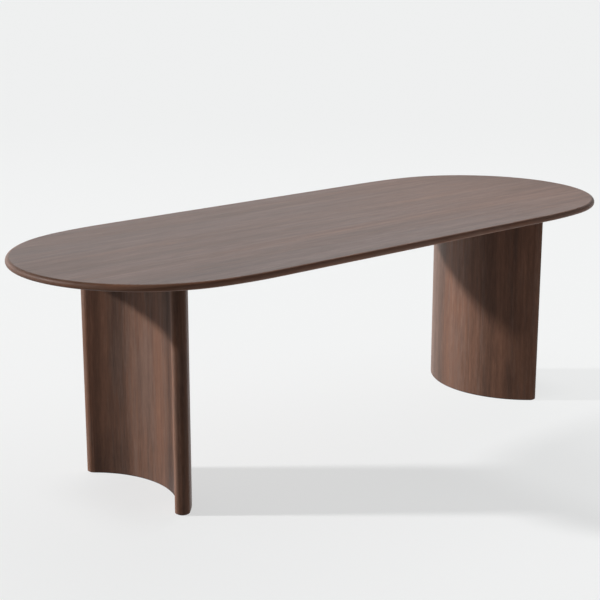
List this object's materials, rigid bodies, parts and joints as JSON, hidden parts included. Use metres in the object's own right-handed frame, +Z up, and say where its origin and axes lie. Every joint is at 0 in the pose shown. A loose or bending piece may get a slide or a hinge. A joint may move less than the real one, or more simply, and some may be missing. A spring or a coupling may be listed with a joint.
{
  "type": "pedestal dining table",
  "caption": "Long dining table with a rounded-end walnut top on C-shaped curved panel pedestals that stand on adjustable levelling feet.",
  "frame": {"origin": "on the floor, under the middle of the top", "axes": "+X along the table, +Y across it towards the rear, +Z up"},
  "size_m": [2.325, 0.9, 0.75],
  "materials": {
    "walnut_veneer": "satin lacquer, grain along the table",
    "walnut_solid": "satin lacquer, grain along each strip",
    "walnut_ply": "satin lacquer, grain upright",
    "core_board": "raw fibreboard",
    "backer_veneer": "matt lacquer",
    "plywood": "raw plywood",
    "black_steel": "fine black powder coat",
    "zinc_steel": "bright zinc plate",
    "brass": "plain brass",
    "nylon": "dark moulded nylon"
  },
  "bodies": {
    "table": {"edge_lipping_front": "walnut_solid", "edge_lipping_left": "walnut_solid", "edge_lipping_rear": "walnut_solid", "edge_lipping_right": "walnut_solid", "left_bolt_washers": "zinc_steel", "left_leg_bottom_block": "plywood", "left_leg_front_nosing": "walnut_solid", "left_leg_inner_skin": "walnut_ply", "left_leg_outer_skin": "walnut_ply", "left_leg_rear_nosing": "walnut_solid", "left_leg_ribs": "plywood", "left_leg_top_block": "plywood", "left_leveller_sleeves": "zinc_steel", "left_mounting_bolts": "zinc_steel", "left_mounting_plate": "black_steel", "left_plate_screws": "zinc_steel", "left_top_inserts": "brass", "rail_screws_front": "zinc_steel", "rail_screws_rear": "zinc_steel", "right_bolt_washers": "zinc_steel", "right_leg_bottom_block": "plywood", "right_leg_front_nosing": "walnut_solid", "right_leg_inner_skin": "walnut_ply", "right_leg_outer_skin": "walnut_ply", "right_leg_rear_nosing": "walnut_solid", "right_leg_ribs": "plywood", "right_leg_top_block": "plywood", "right_leveller_sleeves": "zinc_steel", "right_mounting_bolts": "zinc_steel", "right_mounting_plate": "black_steel", "right_plate_screws": "zinc_steel", "right_top_inserts": "brass", "stiffener_rail_front": "black_steel", "stiffener_rail_rear": "black_steel", "top_backer_veneer": "backer_veneer", "top_core": "core_board", "top_face_veneer": "walnut_veneer"},
    "left_front_leveller_pad": {"left_front_leveller_pad": "nylon"},
    "left_front_leveller_stud": {"left_front_leveller_stud": "zinc_steel"},
    "left_middle_leveller_pad": {"left_middle_leveller_pad": "nylon"},
    "left_middle_leveller_stud": {"left_middle_leveller_stud": "zinc_steel"},
    "left_rear_leveller_pad": {"left_rear_leveller_pad": "nylon"},
    "left_rear_leveller_stud": {"left_rear_leveller_stud": "zinc_steel"},
    "right_front_leveller_pad": {"right_front_leveller_pad": "nylon"},
    "right_front_leveller_stud": {"right_front_leveller_stud": "zinc_steel"},
    "right_middle_leveller_pad": {"right_middle_leveller_pad": "nylon"},
    "right_middle_leveller_stud": {"right_middle_leveller_stud": "zinc_steel"},
    "right_rear_leveller_pad": {"right_rear_leveller_pad": "nylon"},
    "right_rear_leveller_stud": {"right_rear_leveller_stud": "zinc_steel"}
  },
  "joints": [
    {"name": "left_front_leveller_lift", "type": "slide", "parent": "table", "child": "left_front_leveller_pad", "axis": [0, 0, 1], "range_m": [-0.01, 0]},
    {"name": "left_front_leveller_turn", "type": "hinge", "parent": "left_front_leveller_pad", "child": "left_front_leveller_stud", "pos_m": [-0.77374, -0.19623, 0.003], "axis": [0, 0, 1], "range_deg": [-2880, 0]},
    {"name": "left_middle_leveller_lift", "type": "slide", "parent": "table", "child": "left_middle_leveller_pad", "axis": [0, 0, 1], "range_m": [-0.01, 0]},
    {"name": "left_middle_leveller_turn", "type": "hinge", "parent": "left_middle_leveller_pad", "child": "left_middle_leveller_stud", "pos_m": [-0.70445, 0, 0.003], "axis": [0, 0, 1], "range_deg": [-2880, 0]},
    {"name": "left_rear_leveller_lift", "type": "slide", "parent": "table", "child": "left_rear_leveller_pad", "axis": [0, 0, 1], "range_m": [-0.01, 0]},
    {"name": "left_rear_leveller_turn", "type": "hinge", "parent": "left_rear_leveller_pad", "child": "left_rear_leveller_stud", "pos_m": [-0.77374, 0.19623, 0.003], "axis": [0, 0, 1], "range_deg": [-2880, 0]},
    {"name": "right_front_leveller_lift", "type": "slide", "parent": "table", "child": "right_front_leveller_pad", "axis": [0, 0, 1], "range_m": [-0.01, 0]},
    {"name": "right_front_leveller_turn", "type": "hinge", "parent": "right_front_leveller_pad", "child": "right_front_leveller_stud", "pos_m": [0.77374, -0.19623, 0.003], "axis": [0, 0, 1], "range_deg": [-2880, 0]},
    {"name": "right_middle_leveller_lift", "type": "slide", "parent": "table", "child": "right_middle_leveller_pad", "axis": [0, 0, 1], "range_m": [-0.01, 0]},
    {"name": "right_middle_leveller_turn", "type": "hinge", "parent": "right_middle_leveller_pad", "child": "right_middle_leveller_stud", "pos_m": [0.70445, 0, 0.003], "axis": [0, 0, 1], "range_deg": [-2880, 0]},
    {"name": "right_rear_leveller_lift", "type": "slide", "parent": "table", "child": "right_rear_leveller_pad", "axis": [0, 0, 1], "range_m": [-0.01, 0]},
    {"name": "right_rear_leveller_turn", "type": "hinge", "parent": "right_rear_leveller_pad", "child": "right_rear_leveller_stud", "pos_m": [0.77374, 0.19623, 0.003], "axis": [0, 0, 1], "range_deg": [-2880, 0]}
  ],
  "couplings": [
    {"joint": "left_front_leveller_turn", "follows": "left_front_leveller_lift", "rad_per_m": 5026.5},
    {"joint": "left_middle_leveller_turn", "follows": "left_middle_leveller_lift", "rad_per_m": 5026.5},
    {"joint": "left_rear_leveller_turn", "follows": "left_rear_leveller_lift", "rad_per_m": 5026.5},
    {"joint": "right_front_leveller_turn", "follows": "right_front_leveller_lift", "rad_per_m": 5026.5},
    {"joint": "right_middle_leveller_turn", "follows": "right_middle_leveller_lift", "rad_per_m": 5026.5},
    {"joint": "right_rear_leveller_turn", "follows": "right_rear_leveller_lift", "rad_per_m": 5026.5}
  ]
}
